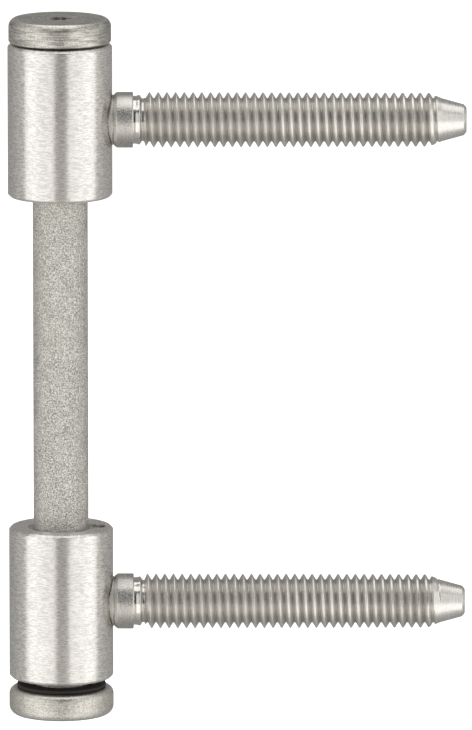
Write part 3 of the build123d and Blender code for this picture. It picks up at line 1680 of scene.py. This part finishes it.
@dataclass(frozen=True)
class Room:
    """Quiet studio room that the metal mirrors, as radiances, with angles in degrees.

    Directions are given by azimuth, 0 towards the camera's side and growing to both sides, and by
    elevation above the horizon.
    """

    back_wall: float = 0.34
    side_wall: float = 0.70
    dark_gap: float = 0.07
    floor_front: float = 0.74
    floor_back: float = 0.36
    ceiling: float = 0.30
    gap_middle: float = 3.0
    gap_reach: float = 40.0
    horizon: float = -4.0
    tint: Colour = (1.0, 0.985, 0.955)
    floor_tint: Colour = (1.0, 0.945, 0.905)

    def build(self) -> None:
        """Builds the world: this room for reflections, and plain white behind the object."""
        world = bpy.data.worlds.new("studio_room")
        bpy.context.scene.world = world
        world.use_nodes = True
        work = Tree(world.node_tree)
        x, y, z = work.split(work.node("ShaderNodeTexCoord").outputs["Generated"])
        azimuth = work.math(MathOp.ARC_TANGENT, x, work.math(MathOp.MULTIPLY, y, -1.0))
        azimuth = work.math(
            MathOp.ABSOLUTE,
            work.math(MathOp.SUBTRACT, azimuth, math.radians(self.gap_middle)),
        )
        elevation = work.math(MathOp.ARC_SINE, z)

        def between(
            value: object, low: float, high: float, first: object, second: object
        ) -> bpy.types.NodeSocket:
            """Passes from one value to another over a range of angles.

            Args:
                value: The angle, in radians.
                low: Angle up to which the first value holds, in degrees.
                high: Angle from which the second value holds, in degrees.
                first: Value below the range.
                second: Value above the range.

            Returns:
                The value at the angle.
            """
            return work.ramp(value, math.radians(low), math.radians(high), first, second)

        wall = between(azimuth, 88.0, 150.0, self.side_wall, self.back_wall)
        beside = between(azimuth, self.gap_reach, self.gap_reach + 30.0, 0.0, 1.0)
        wall = work.blend(beside, self.dark_gap, wall)
        wall = between(elevation, 35.0, 65.0, wall, self.ceiling)
        ground = between(azimuth, 40.0, 170.0, self.floor_front, self.floor_back)
        ground = between(elevation, -95.0, -35.0, self.floor_back, ground)
        above = between(elevation, self.horizon - 1.5, self.horizon + 1.5, 0.0, 1.0)
        level = work.blend(above, ground, wall)
        room = work.node("ShaderNodeBackground")
        ahead = between(azimuth, 10.0, 40.0, 1.0, 0.0)
        warm = work.math(MathOp.MULTIPLY, ahead, work.math(MathOp.SUBTRACT, 1.0, above))
        work.feed(room.inputs["Color"], work.tint(warm, self.tint, self.floor_tint))
        work.feed(room.inputs["Strength"], level)
        white = work.node("ShaderNodeBackground")
        white.inputs["Color"].default_value = (1.0, 1.0, 1.0, 1.0)
        white.inputs["Strength"].default_value = 1.05
        seen = work.node("ShaderNodeMixShader")
        work.feed(seen.inputs[0], work.node("ShaderNodeLightPath").outputs["Is Camera Ray"])
        work.feed(seen.inputs[1], room.outputs[0])
        work.feed(seen.inputs[2], white.outputs[0])
        work.feed(work.node("ShaderNodeOutputWorld").inputs[0], seen.outputs[0])


@dataclass
class Studio:
    """Pale floor, soft lights, quiet surroundings and the camera."""

    floor_level: float = -0.0625
    distance: float = 1.66
    elevation: float = 10.4
    aim: tuple[float, float, float] = (0.0252, 0.0, -0.00055)
    lens: float = 569.6
    room: Room = field(default_factory=Room)
    boxes: Sequence[SoftBox] = (
        SoftBox("left_panel", -47.0, 0.8, -0.1, 1.145, 1.6, 0.80),
        SoftBox("right_panel", 52.0, 0.8, -0.1, 1.10, 1.6, 0.82),
    )
    overhead: float = 1.15

    def build(self) -> None:
        """Builds the whole studio."""
        self._floor()
        self.room.build()
        for box in self.boxes:
            box.build()
        soft_light("overhead", (0.02, -0.04, 0.7), (0.02, -0.04, 0.0), 1.0, 0.73, self.overhead)
        self._camera()
        bpy.context.scene.view_settings.view_transform = "Standard"

    def _floor(self) -> None:
        """Pale floor, well beyond the view. It takes shadows, and the metal doesn't mirror it."""
        shape = bmesh.new()
        reach = 6.0
        corners = [(-reach, -reach), (reach, -reach), (reach, reach), (-reach, reach)]
        shape.faces.new([shape.verts.new((x, y, self.floor_level)) for x, y in corners])
        floor = placed("studio_floor", shape)
        material = bpy.data.materials.new("pale_floor")
        material.use_nodes = True
        work = Tree(material.node_tree)
        matt = work.node("ShaderNodeBsdfPrincipled")
        place = work.node("ShaderNodeTexCoord").outputs["Object"]
        speckle = work.noise(place, 300.0, 2.0)
        work.feed(
            matt.inputs["Base Color"],
            work.tint(speckle, (0.80, 0.80, 0.795), (0.84, 0.84, 0.835)),
        )
        matt.inputs["Roughness"].default_value = 0.9
        glow = work.node("ShaderNodeEmission")
        glow.inputs["Strength"].default_value = 0.8
        lift = work.node("ShaderNodeAddShader")
        work.feed(lift.inputs[0], matt.outputs[0])
        work.feed(lift.inputs[1], glow.outputs[0])
        work.feed(work.node("ShaderNodeOutputMaterial").inputs[0], lift.outputs[0])
        floor.data.materials.append(material)
        floor.visible_glossy = False
        floor.visible_diffuse = False
        floor.visible_shadow = False

    def _camera(self) -> None:
        """Long-lens camera, a little above the hinge and looking down at it."""
        lens = bpy.data.cameras.new("camera")
        lens.lens = self.lens
        lens.clip_end = 50.0
        camera = bpy.data.objects.new("camera", lens)
        bpy.context.scene.collection.objects.link(camera)
        tilt = math.radians(self.elevation)
        back = Vector((0.0, -math.cos(tilt), math.sin(tilt)))
        camera.location = Vector(self.aim) + back * self.distance
        camera.rotation_euler = (-back).to_track_quat("-Z", "Y").to_euler()
        bpy.context.scene.camera = camera


def reach(node: str) -> Point:
    """Heights of a CAD node's lowest and highest points.

    Args:
        node: The CAD node's name.

    Returns:
        The two heights in mm, to the nearest micrometre.
    """
    low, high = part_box(node)
    return round(low[2] / MM, 3), round(high[2] / MM, 3)


def main() -> None:
    """Builds the hinge piece by piece, then the studio."""
    logging.basicConfig(level=logging.INFO, format="%(name)s: %(message)s")
    tree = ThreadTree()
    form = ThreadForm()
    shape = StudShape()
    bush = BearingPolymer("bush_polymer", (0.40, 0.37, 0.34), (0.26, 0.24, 0.22)).build()
    for level, side, crest in (("upper", -1.0, UPPER_CREST), ("lower", 1.0, LOWER_CREST)):
        centre = round(sum(reach(f"{level}_knuckle")) / 2, 3)
        brushed = BrushedNickel(f"{level}_knuckle_nickel", 7.5, centre, 11.0).build()
        rolled = StudNickel(
            f"{level}_stud_nickel",
            centre,
            shape.collar_end,
            form.start,
            form.full_to,
            shape.end,
            form.root,
            form.crest,
        ).build()
        LeafPart(level, centre, side, crest, brushed, rolled, bush, tree).build()
    pin_bottom, pin_top = reach("hinge_pin")
    PinAssembly(
        TumbledNickel("pin_nickel", 3.95, 0.0, 47.0).build(),
        # Head finish: its rim lightening at radius 6.69 is a painted highlight along the crisp top
        # edge.
        TumbledNickel(
            "head_nickel",
            radius=6.69,
            middle=48.1,
            half_height=1.7,
            marks=0.6,
            pale=(0.66, 0.645, 0.60),
            deep=(0.28, 0.27, 0.245),
            smooth=0.28,
            rough=0.4,
            grain_depth=0.022,
        ).build(),
        top=pin_top,
        bottom=pin_bottom,
    ).build()
    button_top = round(reach("end_button")[0] + ButtonAssembly.height, 3)
    ButtonAssembly(
        TumbledNickel(
            "button_nickel",
            radius=7.2,
            middle=-49.5,
            half_height=1.6,
            marks=0.3,
            pale=(0.71, 0.69, 0.64),
            deep=(0.38, 0.37, 0.335),
            smooth=0.3,
            rough=0.42,
            grain_depth=0.016,
        ).build(),
        # Near-black washer colour: painted shade of the gap between the lower knuckle and the
        # button.
        BearingPolymer("washer_polymer", (0.03, 0.025, 0.02), (0.012, 0.010, 0.008), 0.7).build(),
        top=button_top,
    ).build()
    Studio().build()


if __name__ == "__main__":
    main()
